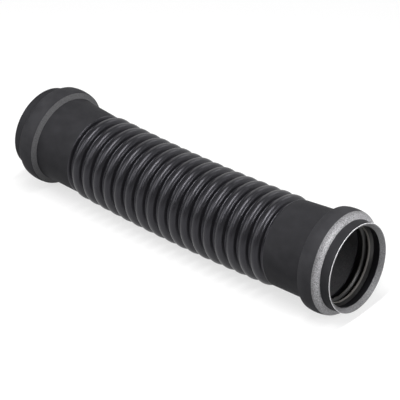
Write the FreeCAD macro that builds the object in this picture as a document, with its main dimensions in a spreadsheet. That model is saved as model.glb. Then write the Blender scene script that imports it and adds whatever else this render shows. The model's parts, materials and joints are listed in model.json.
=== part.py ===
import FreeCAD, Part
import math
import os
import Sketcher

# A flexible waste connector for a 50 mm drain pipe: one moulded tube with a ribbed, flexible middle
# between two push-fit sockets, each with a rubber lip seal in a chamber inside its bead. The tube
# lies on a level surface as it comes to rest: its middle sags, and it leans over until its middle rib
# touches the surface beside the two beads.

# Driving dimensions, in millimetres and degrees
SIZES = {
    # Ribbed middle
    "rib_count": 17,
    "rib_pitch": 9.4,
    "rib_depth": 3.6,
    "rib_wall": 1.6,
    "crest_round": 3.4,
    "flank_angle": 62,
    "bend_angle": 6.7,
    # Socket wall round the pipe that it takes, with depths measured from the mouth
    "pipe_radius": 25,
    "bore_clearance": 0.4,
    "stop_depth": 49.3,
    "stop_height": 1.7,
    "neck_length": 3.2,
    "collar_wall": 2.8,
    "collar_length": 6.6,
    "rim_width": 0.8,
    "lead_in": 2.8,
    "barrel_front_wall": 3.2,
    "barrel_back_wall": 2.3,
    "shoulder_round": 1,
    # Bead round the seal chamber
    "bead_wall": 2.2,
    "bead_dome": 0.5,
    "bead_width": 10.1,
    "front_bevel": 3.5,
    "bevel_round": 7,
    "back_bevel": 1.9,
    "chamber_depth": 7.2,
    "chamber_width": 12,
    "chamber_height": 5,
    "chamber_bevel": 3.6,
    # Lip seal: its nose behind the bore, and its wiper and its lip, which a pipe squeezes outwards
    "seal_clearance": 0.1,
    "seal_band": 3.6,
    "nose_recess": 0.2,
    "wiper_squeeze": 0.8,
    "wiper_slant": 2.7,
    "wiper_width": 0.7,
    "groove_slant": 0.6,
    "groove_width": 0.8,
    "lip_squeeze": 1.2,
    "lip_slant": 1.7,
    "lip_width": 0.7,
    # What is cut away beyond a joint
    "joint_spare": 0.4,
    "cut_margin": 5,
}

# Places worked out from the driving dimensions. A name that ends in _x is a distance along a piece's
# own axis, towards the front mouth, from the foot of the bend radius on that axis.
STATIONS = {
    "turn_step": "sizes.bend_angle / (sizes.rib_count + 1)",
    "bend_radius": "sizes.rib_pitch / 2 / tan(turn_step / 2)",
    # Section of one rib, outside and inside
    "bore_radius": "sizes.pipe_radius + sizes.bore_clearance",
    "passage_radius": "bore_radius - sizes.stop_height",
    "valley_radius": "passage_radius + sizes.rib_wall",
    "rib_radius": "valley_radius + sizes.rib_depth",
    "inner_crest_radius": "rib_radius - sizes.rib_wall",
    "crest_x": "sizes.crest_round * sin(sizes.flank_angle)",
    "crest_foot_radius": "rib_radius - sizes.crest_round * (1 - cos(sizes.flank_angle))",
    "flank_x": "crest_x + (crest_foot_radius - valley_radius) / tan(sizes.flank_angle)",
    "blank_x": "sizes.rib_pitch / 2 + sizes.joint_spare",
    "inner_flank_x": "flank_x - sizes.rib_wall * tan(sizes.flank_angle / 2)",
    "inner_crest_x": "inner_flank_x - sizes.rib_depth / tan(sizes.flank_angle)",
    "rear_crest_x": "-crest_x",
    "rear_flank_x": "-flank_x",
    "rear_blank_x": "-blank_x",
    "rear_inner_flank_x": "-inner_flank_x",
    "rear_inner_crest_x": "-inner_crest_x",
    # Outside of a socket
    "stop_x": "sizes.neck_length - sizes.rib_pitch / 2",
    "mouth_x": "stop_x + sizes.stop_depth",
    "collar_x": "mouth_x - sizes.collar_length",
    "bead_front_x": "collar_x - sizes.front_bevel",
    "bead_back_x": "bead_front_x - sizes.bead_width",
    "barrel_x": "bead_back_x - sizes.back_bevel",
    "collar_radius": "bore_radius + sizes.collar_wall",
    "barrel_front_radius": "bore_radius + sizes.barrel_front_wall",
    "barrel_back_radius": "bore_radius + sizes.barrel_back_wall",
    "chamber_radius": "bore_radius + sizes.chamber_height",
    "bead_edge_radius": "chamber_radius + sizes.bead_wall",
    "bead_radius": "bead_edge_radius + sizes.bead_dome",
    "dome_round": "(sizes.bead_width ^ 2 / 4 + sizes.bead_dome ^ 2) / (2 * sizes.bead_dome)",
    "shoulder_tangent": "sizes.shoulder_round * tan(sizes.flank_angle / 2)",
    "corner_x": "rear_flank_x + (barrel_back_radius - valley_radius) / tan(sizes.flank_angle)",
    "shoulder_x": "corner_x + shoulder_tangent",
    "shoulder_foot_x": "corner_x - shoulder_tangent * cos(sizes.flank_angle)",
    "shoulder_foot_radius": "barrel_back_radius - shoulder_tangent * sin(sizes.flank_angle)",
    # Inside of a socket
    "lead_in_x": "mouth_x - sizes.lead_in",
    "rim_radius": "collar_radius - sizes.rim_width",
    "chamber_front_x": "mouth_x - sizes.chamber_depth",
    "chamber_back_x": "chamber_front_x - sizes.chamber_width",
    "chamber_bevel_x": "chamber_front_x - sizes.chamber_bevel",
    "chamber_bevel_radius": "chamber_radius - sizes.chamber_bevel",
    "stop_foot_x": "stop_x - sizes.stop_height / tan(sizes.flank_angle)",
    # Lip seal
    "seal_radius": "chamber_radius - sizes.seal_clearance",
    "seal_front_x": "chamber_front_x - sizes.seal_clearance",
    "seal_back_x": "chamber_back_x + sizes.seal_clearance",
    "seal_bevel_x": "chamber_bevel_x - sizes.seal_clearance",
    "seal_bevel_radius": "chamber_bevel_radius - sizes.seal_clearance",
    "seal_inner_radius": "seal_radius - sizes.seal_band",
    "nose_radius": "bore_radius + sizes.nose_recess",
    "wiper_radius": "sizes.pipe_radius - sizes.wiper_squeeze",
    "wiper_x": "seal_front_x - sizes.wiper_slant",
    "wiper_back_x": "wiper_x - sizes.wiper_width",
    "groove_x": "wiper_back_x - sizes.groove_slant",
    "groove_back_x": "groove_x - sizes.groove_width",
    "lip_radius": "sizes.pipe_radius - sizes.lip_squeeze",
    "lip_x": "groove_back_x - sizes.lip_slant",
    "lip_back_x": "lip_x - sizes.lip_width",
    "lip_foot_x": "lip_back_x - sizes.lip_slant",
    # Blocks that cut a piece off at a joint
    "cut_length": "2 * sizes.joint_spare",
    "cut_height": "2 * (rib_radius + sizes.cut_margin)",
    # How the tube rests. In the plane of the bend its middle sags below the line of the two beads'
    # centres by more than the beads are larger than the ribs, so that plane leans over by rest_lean.
    "socket_turn": "sizes.bend_angle / 2",
    "dome_x": "bead_front_x - sizes.bead_width / 2",
    "middle_sag": "bend_radius * (1 - cos(socket_turn)) + dome_x * sin(socket_turn)",
    "bead_drop": "(bead_radius - dome_round) * cos(socket_turn) + dome_round",
    "rest_lean": "acos(min(1; (bead_drop - rib_radius) / middle_sag))",
    # Height of the bend's centre over that surface, and its distance beside the beads' centres
    "beads_from_centre": "bend_radius * cos(socket_turn) - dome_x * sin(socket_turn)",
    "height_on_beads": "beads_from_centre * cos(rest_lean) + bead_drop",
    "height_on_rib": "bend_radius * cos(rest_lean) + rib_radius",
    "centre_height": "max(height_on_beads; height_on_rib)",
    "centre_offset": "beads_from_centre * sin(rest_lean)",
}

# Outlines of the three walls, corner by corner: a place along the axis, a distance from the axis
# and, where the edge to the next corner is a bulging arc, its radius
RIB_OUTLINE = [
    ("blank_x", "valley_radius"),
    ("flank_x", "valley_radius"),
    ("crest_x", "crest_foot_radius", "crest_round"),
    ("rear_crest_x", "crest_foot_radius"),
    ("rear_flank_x", "valley_radius"),
    ("rear_blank_x", "valley_radius"),
    ("rear_blank_x", "passage_radius"),
    ("rear_inner_flank_x", "passage_radius"),
    ("rear_inner_crest_x", "inner_crest_radius"),
    ("inner_crest_x", "inner_crest_radius"),
    ("inner_flank_x", "passage_radius"),
    ("blank_x", "passage_radius"),
]
SOCKET_OUTLINE = [
    ("mouth_x", "collar_radius"),
    ("collar_x", "collar_radius", "bevel_round"),
    ("bead_front_x", "bead_edge_radius", "dome_round"),
    ("bead_back_x", "bead_edge_radius"),
    ("barrel_x", "barrel_front_radius"),
    ("shoulder_x", "barrel_back_radius", "shoulder_round"),
    ("shoulder_foot_x", "shoulder_foot_radius"),
    ("rear_flank_x", "valley_radius"),
    ("rear_blank_x", "valley_radius"),
    ("rear_blank_x", "passage_radius"),
    ("stop_foot_x", "passage_radius"),
    ("stop_x", "bore_radius"),
    ("chamber_back_x", "bore_radius"),
    ("chamber_back_x", "chamber_radius"),
    ("chamber_bevel_x", "chamber_radius"),
    ("chamber_front_x", "chamber_bevel_radius"),
    ("chamber_front_x", "bore_radius"),
    ("lead_in_x", "bore_radius"),
    ("mouth_x", "rim_radius"),
]
SEAL_OUTLINE = [
    ("seal_front_x", "seal_bevel_radius"),
    ("seal_bevel_x", "seal_radius"),
    ("seal_back_x", "seal_radius"),
    ("seal_back_x", "seal_inner_radius"),
    ("lip_foot_x", "seal_inner_radius"),
    ("lip_back_x", "lip_radius"),
    ("lip_x", "lip_radius"),
    ("groove_back_x", "seal_inner_radius"),
    ("groove_x", "seal_inner_radius"),
    ("wiper_back_x", "wiper_radius"),
    ("wiper_x", "wiper_radius"),
    ("seal_front_x", "nose_radius"),
]

# Which point of an edge a sketch's constraint means, and the sketch's own origin and upright axis
START_INDEX = 1
END_INDEX = 2
ORIGIN_INDEX = -1
UP_AXIS_INDEX = -2


def fill_sheet(name, cells, prefix):
    """A sheet with each name in column A and its number or formula, under that alias, in column B."""
    sheet = doc.addObject("Spreadsheet::Sheet", name)
    for row, (alias, content) in enumerate(cells.items(), start=1):
        sheet.set("A%d" % row, alias)
        sheet.set("B%d" % row, prefix + str(content))
        sheet.setAlias("B%d" % row, alias)
    doc.recompute()
    return sheet


def value(name):
    """The number that stands in a sheet under a name."""
    sheet = sizes if name in SIZES else stations
    return float(getattr(sheet, name))


def term(name):
    """The same cell, as an expression names it."""
    return ("sizes." if name in SIZES else "stations.") + name


def add_body(label):
    """An empty body whose origin is the centre of the bend, leaning over as the tube rests."""
    body = doc.addObject("PartDesign::Body", label)
    body.Label = label
    body.Placement = FreeCAD.Placement(
        FreeCAD.Vector(), FreeCAD.Rotation(FreeCAD.Vector(-1, 0, 0), 1)
    )
    body.setExpression("Placement.Rotation.Angle", term("rest_lean"))
    body.setExpression("Placement.Base.y", term("centre_offset"))
    body.setExpression("Placement.Base.z", term("centre_height"))
    return body


def datum(body, role):
    """One of a body's own origin planes or axes."""
    return next(item for item in body.Origin.OriginFeatures if item.Role == role)


def add_sketch(body, name, turn):
    """A sketch in the plane of the bend, with its own X axis along the tube's axis at that turn."""
    sketch = body.newObject("Sketcher::SketchObject", name)
    sketch.AttachmentSupport = (datum(body, "XZ_Plane"), [""])
    sketch.MapMode = "FlatFace"
    sketch.AttachmentOffset = FreeCAD.Placement(
        FreeCAD.Vector(), FreeCAD.Rotation(FreeCAD.Vector(0, 0, 1), 1)
    )
    sketch.setExpression("AttachmentOffset.Rotation.Angle", turn)
    sketch.setExpression("AttachmentOffset.Base.x", "stations.bend_radius * sin(%s)" % turn)
    sketch.setExpression("AttachmentOffset.Base.y", "-stations.bend_radius * cos(%s)" % turn)
    return sketch


def bulging_arc(start, end, radius):
    """An arc between two points that bulges to the right of the way from the first to the second."""
    chord = end - start
    sag = radius - math.sqrt(radius ** 2 - (chord.Length / 2) ** 2)
    outward = FreeCAD.Vector(chord.y, -chord.x, 0).normalize()
    return Part.Arc(start, (start + end) / 2 + outward * sag, end)


def draw_outline(sketch, outline):
    """Draws a closed outline and ties each corner and each arc to its cell."""
    points = [FreeCAD.Vector(value(corner[0]), value(corner[1]), 0) for corner in outline]
    tails = []
    for index, corner in enumerate(outline):
        start = points[index]
        end = points[(index + 1) % len(points)]
        if len(corner) == 2:
            edge = sketch.addGeometry(Part.LineSegment(start, end))
        else:
            edge = sketch.addGeometry(bulging_arc(start, end, value(corner[2])))
            bound(sketch, Sketcher.Constraint("Radius", edge, value(corner[2])), corner[2])
        begins_here = sketch.getPoint(edge, START_INDEX).isEqual(start, 1e-6)
        tails.append((edge, START_INDEX, END_INDEX) if begins_here else (edge, END_INDEX, START_INDEX))
    for index, (edge, tail, head) in enumerate(tails):
        following, its_tail, its_head = tails[(index + 1) % len(tails)]
        sketch.addConstraint(Sketcher.Constraint("Coincident", edge, head, following, its_tail))
        along, away = outline[index][:2]
        place = Sketcher.Constraint("DistanceX", ORIGIN_INDEX, START_INDEX, edge, tail, value(along))
        bound(sketch, place, along)
        place = Sketcher.Constraint("DistanceY", ORIGIN_INDEX, START_INDEX, edge, tail, value(away))
        bound(sketch, place, away)


def bound(sketch, constraint, name):
    """Adds a dimension to a sketch and binds it to the cell of that name."""
    index = sketch.addConstraint(constraint)
    sketch.setExpression("Constraints[%d]" % index, term(name))


def turn_round_axis(body, name, outline, turn):
    """Revolves an outline about the tube's axis at that turn."""
    sketch = add_sketch(body, name + "_outline", turn)
    draw_outline(sketch, outline)
    ring = body.newObject("PartDesign::Revolution", name)
    ring.Profile = (sketch, [""])
    ring.ReferenceAxis = (sketch, ["H_Axis"])
    ring.Angle = 360
    doc.recompute()
    return ring


def cut_beyond(body, name, turn, side):
    """Cuts off what reaches past the joint at that turn, on the side of the front mouth or the rear."""
    sketch = add_sketch(body, name + "_outline", turn)
    far = side * value("cut_length")
    half = value("cut_height") / 2
    corners = [(0, -half), (far, -half), (far, half), (0, half)]
    for index, corner in enumerate(corners):
        following = corners[(index + 1) % len(corners)]
        ends = [FreeCAD.Vector(*point, 0) for point in (corner, following)]
        sketch.addGeometry(Part.LineSegment(*ends))
    bottom, outer, top, joint = range(len(corners))
    for edge, following in ((bottom, outer), (outer, top), (top, joint), (joint, bottom)):
        sketch.addConstraint(Sketcher.Constraint("Coincident", edge, END_INDEX, following, START_INDEX))
    sketch.addConstraint(Sketcher.Constraint("Horizontal", bottom))
    sketch.addConstraint(Sketcher.Constraint("Horizontal", top))
    sketch.addConstraint(Sketcher.Constraint("Vertical", outer))
    sketch.addConstraint(Sketcher.Constraint("PointOnObject", joint, START_INDEX, UP_AXIS_INDEX))
    joint_ends = (joint, START_INDEX, joint, END_INDEX)
    middle = (ORIGIN_INDEX, START_INDEX)
    sketch.addConstraint(Sketcher.Constraint("Symmetric", *joint_ends, *middle))
    width = (bottom, START_INDEX, bottom, END_INDEX)
    if side < 0:
        width = (bottom, END_INDEX, bottom, START_INDEX)
    bound(sketch, Sketcher.Constraint("DistanceX", *width, value("cut_length")), "cut_length")
    height = (outer, START_INDEX, outer, END_INDEX)
    bound(sketch, Sketcher.Constraint("DistanceY", *height, value("cut_height")), "cut_height")
    cut = body.newObject("PartDesign::Pocket", name)
    cut.Profile = (sketch, [""])
    cut.Type = "ThroughAll"
    cut.Midplane = True
    doc.recompute()
    return cut


def add_mirror(source, label):
    """The same piece at the other end of the tube."""
    mirror = doc.addObject("Part::Mirroring", label)
    mirror.Label = label
    mirror.Source = source
    mirror.Base = FreeCAD.Vector(0, 0, 0)
    mirror.Normal = FreeCAD.Vector(1, 0, 0)
    return mirror


doc = FreeCAD.newDocument("flexible_waste_connector")
sizes = fill_sheet("sizes", SIZES, "")
stations = fill_sheet("stations", STATIONS, "=")

# Ribbed middle: the rib nearest the front socket, cut off square to the bend at both its joints,
# and then repeated round the centre of the bend
FIRST_RIB_TURN = "(sizes.rib_count - 1) / 2 * stations.turn_step"
HALF_STEP = "stations.turn_step / 2"
ribs = add_body("ribbed_middle")
turn_round_axis(ribs, "rib", RIB_OUTLINE, FIRST_RIB_TURN)
cut_beyond(ribs, "front_joint", FIRST_RIB_TURN + " + " + HALF_STEP, 1)
last_cut = cut_beyond(ribs, "rear_joint", FIRST_RIB_TURN + " - " + HALF_STEP, -1)
row = ribs.newObject("PartDesign::PolarPattern", "rib_row")
row.TransformMode = "Whole shape"
row.Axis = (datum(ribs, "Y_Axis"), [""])
row.Mode = "Spacing"
row.setExpression("Offset", "stations.turn_step")
row.setExpression("Occurrences", "sizes.rib_count")
ribs.Tip = row

# Front socket, cut off at its joint with the ribs, and the rear one, its mirror image
SOCKET_TURN = "stations.socket_turn"
front_socket = add_body("front_socket")
turn_round_axis(front_socket, "socket_wall", SOCKET_OUTLINE, SOCKET_TURN)
cut_beyond(front_socket, "socket_joint", SOCKET_TURN + " - " + HALF_STEP, -1)
rear_socket = add_mirror(front_socket, "rear_socket")

# The moulding is one piece
moulding = doc.addObject("Part::MultiFuse", "connector_body")
moulding.Label = "connector_body"
moulding.Shapes = [ribs, front_socket, rear_socket]
moulding.Refine = False

# One seal in each socket
front_seal = add_body("front_lip_seal")
turn_round_axis(front_seal, "seal_ring", SEAL_OUTLINE, SOCKET_TURN)
rear_seal = add_mirror(front_seal, "rear_lip_seal")
doc.recompute()

for item in doc.Objects:
    if "Invalid" in item.State or "Error" in item.State:
        raise RuntimeError(item.Name + " failed to build")
pieces = [moulding, front_seal, rear_seal]
for piece in pieces:
    if piece.Shape.isNull() or not piece.Shape.isValid() or len(piece.Shape.Solids) != 1:
        raise RuntimeError(piece.Label + " is not one valid solid")
os.makedirs("parts", exist_ok=True)
for piece in pieces:
    piece.Shape.exportStep("parts/%s.step" % piece.Label)
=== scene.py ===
import json
import math

import bpy
from mathutils import Matrix, Vector


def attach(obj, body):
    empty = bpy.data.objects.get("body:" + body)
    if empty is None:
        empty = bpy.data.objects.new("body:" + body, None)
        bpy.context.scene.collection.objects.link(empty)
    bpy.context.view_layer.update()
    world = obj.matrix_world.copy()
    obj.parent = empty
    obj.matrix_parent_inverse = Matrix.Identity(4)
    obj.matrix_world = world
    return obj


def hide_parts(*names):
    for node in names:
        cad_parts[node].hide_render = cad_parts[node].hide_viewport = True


# A ribbed drain connector, lying on a pale floor. The frame gives the line of the tube's axis. The
# moulding and both of its seals are turned here again about that line, finer than in the frame and
# with their edges rounded off. Each stretch of the plastic has the finish of its part of the mould;
# the blasted, eroded and grained finishes are also paler as painted light and painted highlight, the
# rims' outer edges carry a painted highlight, and the front bevel a painted shade towards its bead.
# The seals are black rubber with a painted highlight on their lip edges.

MM = 0.001

# Section of the ribbed middle, in millimetres, and the angle of a rib's flanks to the axis
RIB_COUNT = 17
RIB_PITCH = 9.4
RIB_RADIUS = 28.9
RIB_DEPTH = 3.6
RIB_WALL = 1.6
CREST_ROUND = 3.4
FLANK_ANGLE = math.radians(62)

# Section of a socket, in millimetres, with depths measured from the mouth
BORE_RADIUS = 25.4
STOP_DEPTH = 49.3
NECK_LENGTH = 3.2
COLLAR_RADIUS = 28.2
COLLAR_LENGTH = 6.6
RIM_WIDTH = 0.8
RIM_EDGE = 0.25
LEAD_IN = 2.8
BARREL_FRONT_RADIUS = 28.6
BARREL_BACK_RADIUS = 27.7
BEAD_RADIUS = 33.1
BEAD_DOME = 0.5
BEAD_WIDTH = 10.1
FRONT_BEVEL = 3.5
BEVEL_BULGE = 7
BACK_BEVEL = 1.9
CHAMBER_RADIUS = 30.4
CHAMBER_DEPTH = 7.2
CHAMBER_WIDTH = 12
CHAMBER_BEVEL = 3.6

# Section of a seal, in millimetres
SEAL_CLEARANCE = 0.1
SEAL_BAND = 3.6
NOSE_RADIUS = 25.6
WIPER_RADIUS = 24.2
WIPER_SLANT = 2.7
WIPER_EDGE_SLANT = 0.8
WIPER_FULLNESS = 0.06
WIPER_WIDTH = 0.7
GROOVE_SLANT = 0.6
GROOVE_WIDTH = 0.8
LIP_RADIUS = 23.8
LIP_SLANT = 1.7
LIP_WIDTH = 0.7

# Roundings of the edges, in millimetres
VALLEY_ROUND = 0.9
INNER_ROUND = 0.8
RIM_ROUND = 0.1
COLLAR_ROUND = 0.3
BEAD_EDGE_ROUND = 0.7
BARREL_ROUND = 0.5
SHOULDER_ROUND = 1
BORE_ROUND = 0.3
LIP_ROUND = 0.3

# Share of a bulging edge's radius that leaves room for the roundings at its ends
BULGE_SHARE = 0.87

# Fineness of the meshes, and how far a rounding's faces may lie inside it, in millimetres
SEGMENTS_AROUND = 120
ARC_SAG = 0.02

# Places along a socket's axis, in millimetres towards its mouth from the foot of the bend radius
STOP_X = NECK_LENGTH - RIB_PITCH / 2
MOUTH_X = STOP_X + STOP_DEPTH
COLLAR_X = MOUTH_X - COLLAR_LENGTH
BEAD_FRONT_X = COLLAR_X - FRONT_BEVEL
BEAD_BACK_X = BEAD_FRONT_X - BEAD_WIDTH
BARREL_X = BEAD_BACK_X - BACK_BEVEL
CHAMBER_FRONT_X = MOUTH_X - CHAMBER_DEPTH
CHAMBER_BACK_X = CHAMBER_FRONT_X - CHAMBER_WIDTH

# Finishes, numbered as the slots of the moulding's materials and of a seal's materials
SATIN, MATT, FROSTED, BLASTED_PAINTED_LIGHT, ERODED_HIGHLIGHT, GRAINED_HIGHLIGHT, RIM_HIGHLIGHT = range(7)
RUBBER, LIP_EDGE_HIGHLIGHT = range(2)

# Darkest and lightest colour of each finish of the plastic, and the two colours of the rubber
SATIN_COLOURS = ((0.0075, 0.0073, 0.0085), (0.0105, 0.0102, 0.0118))
MATT_COLOURS = ((0.022, 0.0218, 0.0238), (0.029, 0.0287, 0.0312))
FROSTED_COLOURS = ((0.028, 0.0277, 0.0301), (0.038, 0.0376, 0.0407))
# Blasted colours: real fine blasting, made paler partly as painted light on the back bevels and deep bore
BLASTED_PAINTED_LIGHT_COLOURS = ((0.045, 0.0447, 0.0472), (0.1, 0.0994, 0.1045))
# Eroded colours: real speckle, made paler partly as a painted highlight on the lead-ins and rim flats
ERODED_HIGHLIGHT_COLOURS = ((0.03, 0.0297, 0.0312), (0.17, 0.1688, 0.177))
# Grained colours: real spark-eroded grain, made paler partly as a painted highlight on the bevel
GRAINED_HIGHLIGHT_COLOURS = ((0.05, 0.0495, 0.052), (0.46, 0.4565, 0.478))
# Rim colours: a painted highlight along the outer edges of the rims
RIM_HIGHLIGHT_COLOURS = ((0.6, 0.597, 0.615), (0.85, 0.846, 0.87))
RUBBER_COLOUR = (0.012, 0.0117, 0.0117)
# Second rubber colour: a painted highlight on the seals' lip edges
LIP_EDGE_HIGHLIGHT_COLOUR = (0.17, 0.161, 0.152)

# Tint of the gloss on the satin and on the dull plastic, slightly blue
SATIN_GLOSS = (0.91, 0.9, 1, 1)
DULL_GLOSS = (0.93, 0.92, 1, 1)

# Share of the bevel's colour that is left beside the bead, a painted shade that darkens the bevel towards
# it
BEAD_SIDE_PAINTED_SHADE = 0.35

# Part of a noise's range that a finish's colours or roughness are spread over
NOISE_LOW = 0.3
NOISE_HIGH = 0.7

# Stage, in metres: the floor, the wall behind it, and the glow that grows from near the tube outwards
FLOOR_HALF = 3
STAGE_COLOUR = (0.3, 0.3, 0.3)
WALL_RADIUS = 2.4
WALL_HEIGHT = 2.8
WALL_AZIMUTHS = range(110, 251, 5)
NEAR_GLOW = 0.68
FAR_GLOW = 0.96
GLOW_STARTS = 0.4
GLOW_ENDS = 1.5
WORLD_STRENGTH = 0.2

# Aim of the front strip, as a share of the way from the tube's middle to the front end of the bend
FRONT_RIBS_SHARE = 0.7

# Camera, in degrees and metres, measured from the middle of the tube's axis
CAMERA_AZIMUTH = 41.843
CAMERA_ELEVATION = 30.557
CAMERA_DISTANCE = 1.1432
CAMERA_SHIFT_RIGHT = 0.00634
CAMERA_SHIFT_UP = 0.0005
CAMERA_LENS_PX = 1807.4
FRAME_PX = 400
SENSOR_MM = 36


class TubeAxis:
    """The line that the tube is turned about: an arc with a straight stretch at each end."""

    def __init__(self, mount):
        self.end_direction = Vector(mount["axis"]).normalized()
        self.half_turn = math.acos(self.end_direction.x)
        self.along = Vector((1, 0, 0))
        self.to_centre = Vector((0, self.end_direction.y, self.end_direction.z)).normalized()
        self.across = self.along.cross(self.to_centre)
        self.turn_step = 2 * self.half_turn / (RIB_COUNT + 1)
        self.radius = RIB_PITCH / 2 / math.tan(self.turn_step / 2) * MM
        self.half_arc = self.radius * self.half_turn
        mount_x = (MOUTH_X - (LEAD_IN + CHAMBER_DEPTH) / 2) * MM
        foot = Vector(mount["pos_m"]) - self.end_direction * mount_x
        self.centre = foot + self.inwards(self.half_turn) * self.radius

    def direction(self, turn):
        """The way along the axis after that turn from its middle."""
        return self.along * math.cos(turn) + self.to_centre * math.sin(turn)

    def inwards(self, turn):
        """The way from the axis to the centre of the bend after that turn from its middle."""
        return self.to_centre * math.cos(turn) - self.along * math.sin(turn)

    def place(self, along):
        """The point of the axis that far along it from the middle, and its direction there."""
        turn = max(-self.half_turn, min(self.half_turn, along / self.radius))
        past = along - turn * self.radius
        direction = self.direction(turn)
        return self.centre - self.inwards(turn) * self.radius + direction * past, direction

    def spoke(self, direction, angle):
        """The way out from the axis at that angle round it, counted from the inside of the bend."""
        to_inside = self.across.cross(direction)
        return to_inside * math.cos(angle) + self.across * math.sin(angle)


def line_normal(start, end):
    """The unit normal on the right of the way from one point to the next."""
    step = (end - start).normalized()
    return Vector((step.y, -step.x))


def rounded(corners):
    """Points of a closed outline with rounded corners, each with its normal and the next edge's finish.

    A corner is its place along the axis, its distance from the axis, the radius of its rounding and
    the finish of the edge that follows it. A rounding has the finish with the lower number of its two
    edges. The outline's outer side is on the right of its way.
    """
    places = [Vector(corner[:2]) for corner in corners]
    points = []
    for index, (corner, here) in enumerate(zip(corners, places)):
        before = line_normal(places[index - 1], here)
        after = line_normal(here, places[(index + 1) % len(places)])
        turn = before.angle_signed(after, 0)
        radius, finish = corner[2:]
        rounding_finish = min(finish, corners[index - 1][3])
        arc_step = 2 * math.acos(1 - ARC_SAG / radius)
        steps = max(2, math.ceil(abs(turn) / arc_step))
        side = math.copysign(1, turn)
        centre = here + (before + after).normalized() * side * radius / math.cos(turn / 2)
        for step in range(steps + 1):
            normal = before.copy()
            normal.rotate(Matrix.Rotation(-turn * step / steps, 2))
            next_finish = finish if step == steps else rounding_finish
            points.append((centre - normal * side * radius, normal, next_finish))
    return points


def turned_mesh(name, axis, corners):
    """A closed ring or tube, turned from an outline whose places along the axis are in millimetres."""
    outline = rounded(corners)
    vertices = []
    normals = []
    for point, normal, _ in outline:
        centre, direction = axis.place(point.x * MM)
        for index in range(SEGMENTS_AROUND):
            spoke = axis.spoke(direction, 2 * math.pi * index / SEGMENTS_AROUND)
            vertices.append(centre + spoke * point.y * MM)
            normals.append(direction * normal.x + spoke * normal.y)
    faces = []
    finishes = []
    for row, (_, _, finish) in enumerate(outline):
        here = row * SEGMENTS_AROUND
        there = (row + 1) % len(outline) * SEGMENTS_AROUND
        for index in range(SEGMENTS_AROUND):
            following = (index + 1) % SEGMENTS_AROUND
            faces.append((here + index, there + index, there + following, here + following))
            finishes.append(finish)
    mesh = bpy.data.meshes.new(name)
    mesh.from_pydata(vertices, [], faces)
    mesh.polygons.foreach_set("material_index", finishes)
    mesh.shade_smooth()
    mesh.normals_split_custom_set_from_vertices(normals)
    piece = bpy.data.objects.new(name, mesh)
    bpy.context.scene.collection.objects.link(piece)
    return piece


def mirrored(corners):
    """The same stretch of outline at the other end of the tube, in the order that keeps its outer side.

    The edge that follows it has the finish of the edge that follows the first stretch.
    """
    finishes = [corner[3] for corner in corners[-2::-1]] + [corners[-1][3]]
    return [
        (-along, away, radius, finish)
        for (along, away, radius, _), finish in zip(reversed(corners), finishes)
    ]


def bulge(start, end, radius, finish):
    """The rounded corner that makes the edge between two points bulge to the right of its way."""
    half_chord = (end - start).length / 2
    sag_angle = math.asin(half_chord / radius)
    peak = (start + end) / 2 + line_normal(start, end) * half_chord * math.tan(sag_angle)
    return (*peak, radius * BULGE_SHARE, finish)


def socket_section(foot, bevel_finish):
    """The front socket from the passage through its inside, round the rim and back to the first rib."""
    passage_radius = RIB_RADIUS - RIB_DEPTH - RIB_WALL
    valley_radius = RIB_RADIUS - RIB_DEPTH
    stop_foot_x = STOP_X - (BORE_RADIUS - passage_radius) / math.tan(FLANK_ANGLE)
    bevel_x = CHAMBER_FRONT_X - CHAMBER_BEVEL
    bead_edge = BEAD_RADIUS - BEAD_DOME
    dome_radius = (BEAD_WIDTH ** 2 / 4 + BEAD_DOME ** 2) / (2 * BEAD_DOME)
    bevel_foot = Vector((COLLAR_X, COLLAR_RADIUS))
    bead_front = Vector((BEAD_FRONT_X, bead_edge))
    bead_back = Vector((BEAD_BACK_X, bead_edge))
    flank_x = -rib_half_width()
    shoulder_x = flank_x + (BARREL_BACK_RADIUS - valley_radius) / math.tan(FLANK_ANGLE)
    corners = [
        (stop_foot_x, passage_radius, BORE_ROUND, BLASTED_PAINTED_LIGHT),
        (STOP_X, BORE_RADIUS, BORE_ROUND, BLASTED_PAINTED_LIGHT),
        (CHAMBER_BACK_X, BORE_RADIUS, BORE_ROUND, SATIN),
        (CHAMBER_BACK_X, CHAMBER_RADIUS, BORE_ROUND, SATIN),
        (bevel_x, CHAMBER_RADIUS, BORE_ROUND, SATIN),
        (CHAMBER_FRONT_X, CHAMBER_RADIUS - CHAMBER_BEVEL, BORE_ROUND, SATIN),
        (CHAMBER_FRONT_X, BORE_RADIUS, BORE_ROUND, SATIN),
        (MOUTH_X - LEAD_IN, BORE_RADIUS, BORE_ROUND, ERODED_HIGHLIGHT),
        (MOUTH_X, COLLAR_RADIUS - RIM_WIDTH, RIM_ROUND, ERODED_HIGHLIGHT),
        (MOUTH_X, COLLAR_RADIUS - RIM_EDGE, RIM_ROUND, RIM_HIGHLIGHT),
        (MOUTH_X - RIM_EDGE, COLLAR_RADIUS, RIM_ROUND, MATT),
        (*bevel_foot, COLLAR_ROUND, bevel_finish),
        bulge(bevel_foot, bead_front, BEVEL_BULGE, bevel_finish),
        (*bead_front, BEAD_EDGE_ROUND, FROSTED),
        bulge(bead_front, bead_back, dome_radius, FROSTED),
        (*bead_back, BEAD_EDGE_ROUND, BLASTED_PAINTED_LIGHT),
        (BARREL_X, BARREL_FRONT_RADIUS, BARREL_ROUND, MATT),
        (shoulder_x, BARREL_BACK_RADIUS, SHOULDER_ROUND, SATIN),
        (flank_x, valley_radius, VALLEY_ROUND, SATIN),
    ]
    return [(foot + along, away, radius, finish) for along, away, radius, finish in corners]


def rib_half_width():
    """Half the width of a rib at its foot."""
    crest_foot = CREST_ROUND * (1 - math.cos(FLANK_ANGLE))
    return CREST_ROUND * math.sin(FLANK_ANGLE) + (RIB_DEPTH - crest_foot) / math.tan(FLANK_ANGLE)


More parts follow.
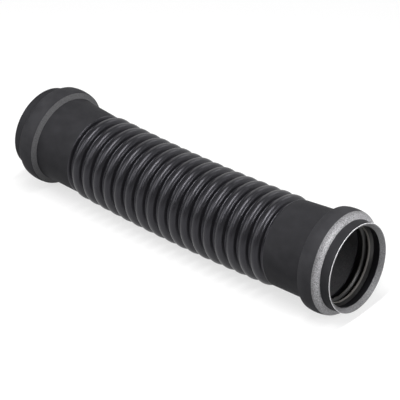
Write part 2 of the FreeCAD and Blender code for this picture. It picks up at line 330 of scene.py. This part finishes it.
def rib_outside(middle):
    """The outside of one rib, its front foot, the point where its flanks would meet and its rear foot."""
    half_width = rib_half_width()
    valley_radius = RIB_RADIUS - RIB_DEPTH
    peak_radius = valley_radius + half_width * math.tan(FLANK_ANGLE)
    return [
        (middle + half_width, valley_radius, VALLEY_ROUND, SATIN),
        (middle, peak_radius, CREST_ROUND, SATIN),
        (middle - half_width, valley_radius, VALLEY_ROUND, SATIN),
    ]


def rib_inside(middle):
    """The inside of one rib, in the other direction."""
    passage_radius = RIB_RADIUS - RIB_DEPTH - RIB_WALL
    foot_x = rib_half_width() - RIB_WALL * math.tan(FLANK_ANGLE / 2)
    crest_x = foot_x - RIB_DEPTH / math.tan(FLANK_ANGLE)
    return [
        (middle - foot_x, passage_radius, INNER_ROUND, SATIN),
        (middle - crest_x, RIB_RADIUS - RIB_WALL, INNER_ROUND, SATIN),
        (middle + crest_x, RIB_RADIUS - RIB_WALL, INNER_ROUND, SATIN),
        (middle + foot_x, passage_radius, INNER_ROUND, SATIN),
    ]


def moulding(axis):
    """The whole tube as one piece: two sockets with the ribbed middle between them."""
    foot = axis.half_arc / MM
    spacing = axis.turn_step * axis.radius / MM
    middles = [(index - (RIB_COUNT - 1) / 2) * spacing for index in range(RIB_COUNT)]
    corners = socket_section(foot, GRAINED_HIGHLIGHT)
    for middle in reversed(middles):
        corners += rib_outside(middle)
    corners += mirrored(socket_section(foot, MATT))
    for middle in middles:
        corners += rib_inside(middle)
    return turned_mesh("moulded_tube", axis, corners)


def seal_corners(foot):
    """The section of the front seal, with its long wiper, the groove behind it and its lip."""
    radius = CHAMBER_RADIUS - SEAL_CLEARANCE
    inner_radius = radius - SEAL_BAND
    front_x = foot + CHAMBER_FRONT_X - SEAL_CLEARANCE
    bevel_x = front_x - CHAMBER_BEVEL
    back_x = foot + CHAMBER_BACK_X + SEAL_CLEARANCE
    wiper_x = front_x - WIPER_SLANT
    groove_x = wiper_x - WIPER_WIDTH - GROOVE_SLANT
    wiper_slope = (NOSE_RADIUS - WIPER_RADIUS) / WIPER_SLANT
    wiper_edge_radius = WIPER_RADIUS + WIPER_EDGE_SLANT * wiper_slope - WIPER_FULLNESS
    lip_foot_x = groove_x - GROOVE_WIDTH
    lip_x = lip_foot_x - LIP_SLANT
    return [
        (front_x, radius - CHAMBER_BEVEL, LIP_ROUND, RUBBER),
        (bevel_x, radius, LIP_ROUND, RUBBER),
        (back_x, radius, LIP_ROUND, RUBBER),
        (back_x, inner_radius, LIP_ROUND, RUBBER),
        (lip_x - LIP_WIDTH - LIP_SLANT, inner_radius, LIP_ROUND, RUBBER),
        (lip_x - LIP_WIDTH, LIP_RADIUS, LIP_ROUND, LIP_EDGE_HIGHLIGHT),
        (lip_x, LIP_RADIUS, LIP_ROUND, RUBBER),
        (lip_foot_x, inner_radius, LIP_ROUND, RUBBER),
        (groove_x, inner_radius, LIP_ROUND, RUBBER),
        (wiper_x - WIPER_WIDTH, WIPER_RADIUS, LIP_ROUND, LIP_EDGE_HIGHLIGHT),
        (wiper_x, WIPER_RADIUS, LIP_ROUND, LIP_EDGE_HIGHLIGHT),
        (wiper_x + WIPER_EDGE_SLANT, wiper_edge_radius, LIP_ROUND, RUBBER),
        (front_x, NOSE_RADIUS, LIP_ROUND, RUBBER),
    ]


def new_material(name, colour, roughness):
    """A material with its shader's plain values set, its nodes, its links and its shader."""
    material = bpy.data.materials.new(name)
    material.use_nodes = True
    nodes = material.node_tree.nodes
    shader = nodes["Principled BSDF"]
    shader.inputs["Base Color"].default_value = (*colour, 1)
    shader.inputs["Roughness"].default_value = roughness
    return material, nodes, material.node_tree.links, shader


def noise(nodes, links, size_mm, detail):
    """Noise whose features are about that large, fixed to the piece."""
    place = nodes.new("ShaderNodeTexCoord")
    texture = nodes.new("ShaderNodeTexNoise")
    texture.inputs["Scale"].default_value = 1 / (size_mm * MM)
    texture.inputs["Detail"].default_value = detail
    links.new(place.outputs["Object"], texture.inputs["Vector"])
    return texture.outputs["Fac"]


def colour_spread(nodes, links, factor, colours):
    """Noise spread between the darkest and the lightest colour of a finish."""
    ramp = nodes.new("ShaderNodeValToRGB")
    for element, position, colour in zip(ramp.color_ramp.elements, (NOISE_LOW, NOISE_HIGH), colours):
        element.position = position
        element.color = (*colour, 1)
    links.new(factor, ramp.inputs["Fac"])
    return ramp.outputs["Color"]


def value_spread(nodes, links, value, start, end, low, high):
    """A value that runs from low to high while another runs from start to end, and holds beyond them."""
    span = nodes.new("ShaderNodeMapRange")
    span.inputs["From Min"].default_value = start
    span.inputs["From Max"].default_value = end
    span.inputs["To Min"].default_value = low
    span.inputs["To Max"].default_value = high
    links.new(value, span.inputs["Value"])
    return span.outputs["Result"]


def bump(nodes, links, height, depth_mm, strength):
    """A bump of that depth from a height between 0 and 1."""
    node = nodes.new("ShaderNodeBump")
    node.inputs["Strength"].default_value = strength
    node.inputs["Distance"].default_value = depth_mm * MM
    links.new(height, node.inputs["Height"])
    return node.outputs["Normal"]


def satin_plastic():
    """Black plastic as it leaves a polished mould, with a very fine grain."""
    material, nodes, links, shader = new_material(
        "black_plastic", colour=(0.009, 0.0088, 0.0101), roughness=0.33
    )
    shader.inputs["Specular Tint"].default_value = SATIN_GLOSS
    shader.inputs["Specular IOR Level"].default_value = 0.42
    cloud = noise(nodes, links, size_mm=14, detail=3)
    links.new(colour_spread(nodes, links, cloud, SATIN_COLOURS), shader.inputs["Base Color"])
    grain = noise(nodes, links, size_mm=0.35, detail=2)
    roughness = value_spread(nodes, links, grain, NOISE_LOW, NOISE_HIGH, low=0.29, high=0.37)
    links.new(roughness, shader.inputs["Roughness"])
    links.new(bump(nodes, links, grain, depth_mm=0.01, strength=0.4), shader.inputs["Normal"])
    return material


def dull_plastic(name, colours):
    """The same plastic on the sockets, where the mould has a fine matt texture."""
    material, nodes, links, shader = new_material(name, colour=colours[0], roughness=0.65)
    shader.inputs["Specular Tint"].default_value = DULL_GLOSS
    shader.inputs["Specular IOR Level"].default_value = 0.05
    cloud = noise(nodes, links, size_mm=9, detail=3)
    links.new(colour_spread(nodes, links, cloud, colours), shader.inputs["Base Color"])
    grain = noise(nodes, links, size_mm=0.4, detail=2)
    roughness = value_spread(nodes, links, grain, NOISE_LOW, NOISE_HIGH, low=0.55, high=0.7)
    links.new(roughness, shader.inputs["Roughness"])
    links.new(bump(nodes, links, grain, depth_mm=0.02, strength=0.5), shader.inputs["Normal"])
    return material


def matt_plastic():
    """The barrels, the collars and the bevel before the rear bead."""
    return dull_plastic("matt_plastic", MATT_COLOURS)


def frosted_plastic():
    """The beads, a little paler than the barrels."""
    return dull_plastic("frosted_plastic", FROSTED_COLOURS)


def blasted_painted_light_plastic():
    """The same plastic behind the beads and deep in the bore: finely blasted, and paler partly as painted
    light.
    """
    material, nodes, links, shader = new_material(
        "blasted_painted_light_plastic", colour=(0.1, 0.1, 0.104), roughness=0.7
    )
    speckle = noise(nodes, links, size_mm=0.6, detail=3)
    links.new(colour_spread(nodes, links, speckle, BLASTED_PAINTED_LIGHT_COLOURS), shader.inputs["Base Color"])
    links.new(bump(nodes, links, speckle, depth_mm=0.04, strength=0.6), shader.inputs["Normal"])
    return material


def speckled_plastic(name, colours):
    """The same plastic where the mould is spark-eroded, with a rough gloss, paler partly as a painted
    highlight.
    """
    material, nodes, links, shader = new_material(name, colour=colours[0], roughness=0.47)
    shader.inputs["Specular IOR Level"].default_value = 0.9
    speckle = noise(nodes, links, size_mm=0.65, detail=3)
    links.new(colour_spread(nodes, links, speckle, colours), shader.inputs["Base Color"])
    links.new(bump(nodes, links, speckle, depth_mm=0.1, strength=0.9), shader.inputs["Normal"])
    return material


def eroded_highlight_plastic():
    """The lead-ins and the flats of the rims, paler partly as a painted highlight."""
    return speckled_plastic("eroded_highlight_plastic", ERODED_HIGHLIGHT_COLOURS)


def grained_highlight_plastic(axis):
    """The bevel before the bead: spark-eroded, paler partly as painted highlight, with painted shade
    towards the bead.
    """
    material = speckled_plastic("grained_highlight_plastic", GRAINED_HIGHLIGHT_COLOURS)
    nodes = material.node_tree.nodes
    links = material.node_tree.links
    base_colour = nodes["Principled BSDF"].inputs["Base Color"]
    grain_and_highlight_colour = base_colour.links[0].from_socket
    # Painted shade: the bevel's colour is scaled down from the collar towards the bead
    bead, direction = axis.place(axis.half_arc + BEAD_FRONT_X * MM)
    bead_at = bead.dot(direction)
    place = nodes.new("ShaderNodeTexCoord")
    along = nodes.new("ShaderNodeVectorMath")
    along.operation = "DOT_PRODUCT"
    along.inputs[1].default_value = direction
    links.new(place.outputs["Object"], along.inputs[0])
    collar_at = bead_at + FRONT_BEVEL * MM
    share = value_spread(nodes, links, along.outputs["Value"], bead_at, collar_at, BEAD_SIDE_PAINTED_SHADE, high=1)
    painted_shade = nodes.new("ShaderNodeVectorMath")
    painted_shade.operation = "SCALE"
    links.new(grain_and_highlight_colour, painted_shade.inputs[0])
    links.new(share, painted_shade.inputs["Scale"])
    links.new(painted_shade.outputs["Vector"], base_colour)
    return material


def rim_highlight_plastic():
    """The outer edges of the rims, pale as a painted highlight along them."""
    material, nodes, links, shader = new_material(
        "rim_highlight_plastic", colour=(0.4, 0.398, 0.41), roughness=0.35
    )
    shader.inputs["Specular IOR Level"].default_value = 1
    speckle = noise(nodes, links, size_mm=0.8, detail=2)
    links.new(colour_spread(nodes, links, speckle, RIM_HIGHLIGHT_COLOURS), shader.inputs["Base Color"])
    return material


def seal_rubber(name, colour):
    """Black rubber with a slight sheen; in the pale colour, a painted highlight on the lips' edges."""
    material, nodes, links, shader = new_material(name, colour, roughness=0.35)
    cloud = noise(nodes, links, size_mm=3, detail=3)
    roughness = value_spread(nodes, links, cloud, NOISE_LOW, NOISE_HIGH, low=0.3, high=0.42)
    links.new(roughness, shader.inputs["Roughness"])
    grain = noise(nodes, links, size_mm=0.3, detail=2)
    links.new(bump(nodes, links, grain, depth_mm=0.01, strength=0.4), shader.inputs["Normal"])
    return material


def add_stage_piece(name, vertices, faces):
    """A pale floor or wall. Its glow grows outwards, for camera, glossy and transmission rays only."""
    mesh = bpy.data.meshes.new(name)
    mesh.from_pydata(vertices, [], faces)
    piece = bpy.data.objects.new(name, mesh)
    bpy.context.scene.collection.objects.link(piece)
    material, nodes, links, shader = new_material("pale_" + name, STAGE_COLOUR, roughness=0.9)
    shader.inputs["Specular IOR Level"].default_value = 0
    light_path = nodes.new("ShaderNodeLightPath")
    shader.inputs["Emission Color"].default_value = (1, 1, 1, 1)
    seen = light_path.outputs["Is Camera Ray"]
    for ray in ("Is Glossy Ray", "Is Transmission Ray"):
        either = nodes.new("ShaderNodeMath")
        either.operation = "MAXIMUM"
        links.new(seen, either.inputs[0])
        links.new(light_path.outputs[ray], either.inputs[1])
        seen = either.outputs[0]
    place = nodes.new("ShaderNodeTexCoord")
    distance = nodes.new("ShaderNodeVectorMath")
    distance.operation = "LENGTH"
    links.new(place.outputs["Object"], distance.inputs[0])
    away = distance.outputs["Value"]
    glow = value_spread(nodes, links, away, GLOW_STARTS, GLOW_ENDS, NEAR_GLOW, FAR_GLOW)
    strength = nodes.new("ShaderNodeMath")
    strength.operation = "MULTIPLY"
    links.new(seen, strength.inputs[0])
    links.new(glow, strength.inputs[1])
    links.new(strength.outputs[0], shader.inputs["Emission Strength"])
    mesh.materials.append(material)


def add_floor():
    """A wide pale floor that renders near white and keeps the tube's shadow."""
    half = FLOOR_HALF
    corners = [(-half, -half, 0), (half, -half, 0), (half, half, 0), (-half, half, 0)]
    add_stage_piece("floor", corners, [(0, 1, 2, 3)])


def add_backdrop():
    """A pale curved wall far behind the tube, which its upper side mirrors."""
    vertices = []
    for azimuth in WALL_AZIMUTHS:
        foot = direction_to(azimuth, 0) * WALL_RADIUS
        vertices += [foot, foot + Vector((0, 0, WALL_HEIGHT))]
    faces = [(row, row + 2, row + 3, row + 1) for row in range(0, len(vertices) - 2, 2)]
    add_stage_piece("backdrop", vertices, faces)


def add_world():
    """Plain pale surroundings."""
    world = bpy.data.worlds.new("studio")
    bpy.context.scene.world = world
    world.use_nodes = True
    nodes = world.node_tree.nodes
    background = nodes["Background"]
    background.inputs["Color"].default_value = (1, 1, 1, 1)
    background.inputs["Strength"].default_value = WORLD_STRENGTH


def direction_to(azimuth, elevation):
    """The unit vector at that azimuth, in degrees from -Y towards +X, and that elevation."""
    azimuth = math.radians(azimuth)
    elevation = math.radians(elevation)
    level = math.cos(elevation)
    return Vector((math.sin(azimuth) * level, -math.cos(azimuth) * level, math.sin(elevation)))


def add_softbox(name, aim, azimuth, elevation, distance, width, height, brightness):
    """A soft rectangular light that faces an aim, as bright as a white face lit that many times."""
    lamp = bpy.data.lights.new(name, "AREA")
    lamp.shape = "RECTANGLE"
    lamp.size = width
    lamp.size_y = height
    lamp.energy = brightness * math.pi * width * height
    softbox = bpy.data.objects.new(name, lamp)
    back = direction_to(azimuth, elevation)
    softbox.location = aim + back * distance
    softbox.rotation_euler = back.to_track_quat("Z", "Y").to_euler()
    bpy.context.scene.collection.objects.link(softbox)


def add_lights(axis):
    """Strips before, over and behind the tube, a broad bank, a side light at its mouth and a fill."""
    middle = axis.place(0)[0]
    front_ribs = axis.place(axis.half_arc * FRONT_RIBS_SHARE)[0]
    mouth = axis.place(axis.half_arc + MOUTH_X * MM)[0]
    far_end = axis.place(-axis.half_arc - MOUTH_X * MM)[0]
    add_softbox(
        "front_strip", front_ribs, azimuth=-6, elevation=44, distance=0.9,
        width=0.12, height=0.5, brightness=10,
    )
    add_softbox(
        "top_strip", mouth, azimuth=4, elevation=76, distance=1,
        width=0.1, height=0.7, brightness=44,
    )
    add_softbox(
        "rear_strip", middle, azimuth=178, elevation=42, distance=1.2,
        width=0.3, height=0.6, brightness=3,
    )
    add_softbox(
        "top_bank", middle, azimuth=5, elevation=84, distance=1.25,
        width=1.1, height=0.6, brightness=0.6,
    )
    add_softbox(
        "side_light", mouth, azimuth=93, elevation=27, distance=0.4,
        width=0.16, height=0.16, brightness=17,
    )
    add_softbox(
        "far_fill", far_end, azimuth=-38, elevation=30, distance=0.5,
        width=0.35, height=0.35, brightness=2.6,
    )


def add_camera(middle):
    """The camera at the photograph's angle, level, a little beside the tube's middle."""
    back = direction_to(CAMERA_AZIMUTH, CAMERA_ELEVATION)
    right = direction_to(CAMERA_AZIMUTH + 90, 0)
    up = back.cross(right)
    data = bpy.data.cameras.new("camera")
    data.sensor_width = SENSOR_MM
    data.lens = CAMERA_LENS_PX / FRAME_PX * SENSOR_MM
    camera = bpy.data.objects.new("camera", data)
    place = middle + back * CAMERA_DISTANCE + right * CAMERA_SHIFT_RIGHT + up * CAMERA_SHIFT_UP
    turn = Matrix((right, up, back)).transposed().to_4x4()
    camera.matrix_world = Matrix.Translation(place) @ turn
    bpy.context.scene.collection.objects.link(camera)
    bpy.context.scene.camera = camera


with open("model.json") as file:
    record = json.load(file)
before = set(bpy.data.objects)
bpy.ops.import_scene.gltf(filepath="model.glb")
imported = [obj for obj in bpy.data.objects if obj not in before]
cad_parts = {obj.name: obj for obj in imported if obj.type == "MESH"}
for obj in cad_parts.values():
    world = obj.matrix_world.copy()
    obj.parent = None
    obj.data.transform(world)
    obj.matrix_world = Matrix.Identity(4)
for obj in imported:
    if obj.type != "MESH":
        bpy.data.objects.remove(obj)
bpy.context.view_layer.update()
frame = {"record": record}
mounts = {mount["name"]: mount for mount in frame["record"]["mounts"]}
tube_axis = TubeAxis(mounts["front_socket_bore"])
tube_middle = tube_axis.place(0)[0]

rubber = seal_rubber("seal_rubber", RUBBER_COLOUR)
lip_highlight_rubber = seal_rubber("seal_lip_highlight_rubber", LIP_EDGE_HIGHLIGHT_COLOUR)

tube = moulding(tube_axis)
plastics = [
    satin_plastic(), matt_plastic(), frosted_plastic(), blasted_painted_light_plastic(), eroded_highlight_plastic(),
    grained_highlight_plastic(tube_axis), rim_highlight_plastic(),
]
for plastic in plastics:
    tube.data.materials.append(plastic)
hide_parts("connector_body")
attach(tube, "root")

front_corners = seal_corners(tube_axis.half_arc / MM)
for node, corners in (("front_lip_seal", front_corners), ("rear_lip_seal", mirrored(front_corners))):
    seal = turned_mesh(node + "_ring", tube_axis, corners)
    seal.data.materials.append(rubber)
    seal.data.materials.append(lip_highlight_rubber)
    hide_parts(node)
    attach(seal, "root")

add_floor()
add_backdrop()
add_world()
add_lights(tube_axis)
add_camera(tube_middle)

scene = bpy.context.scene
scene.view_settings.view_transform = "Standard"
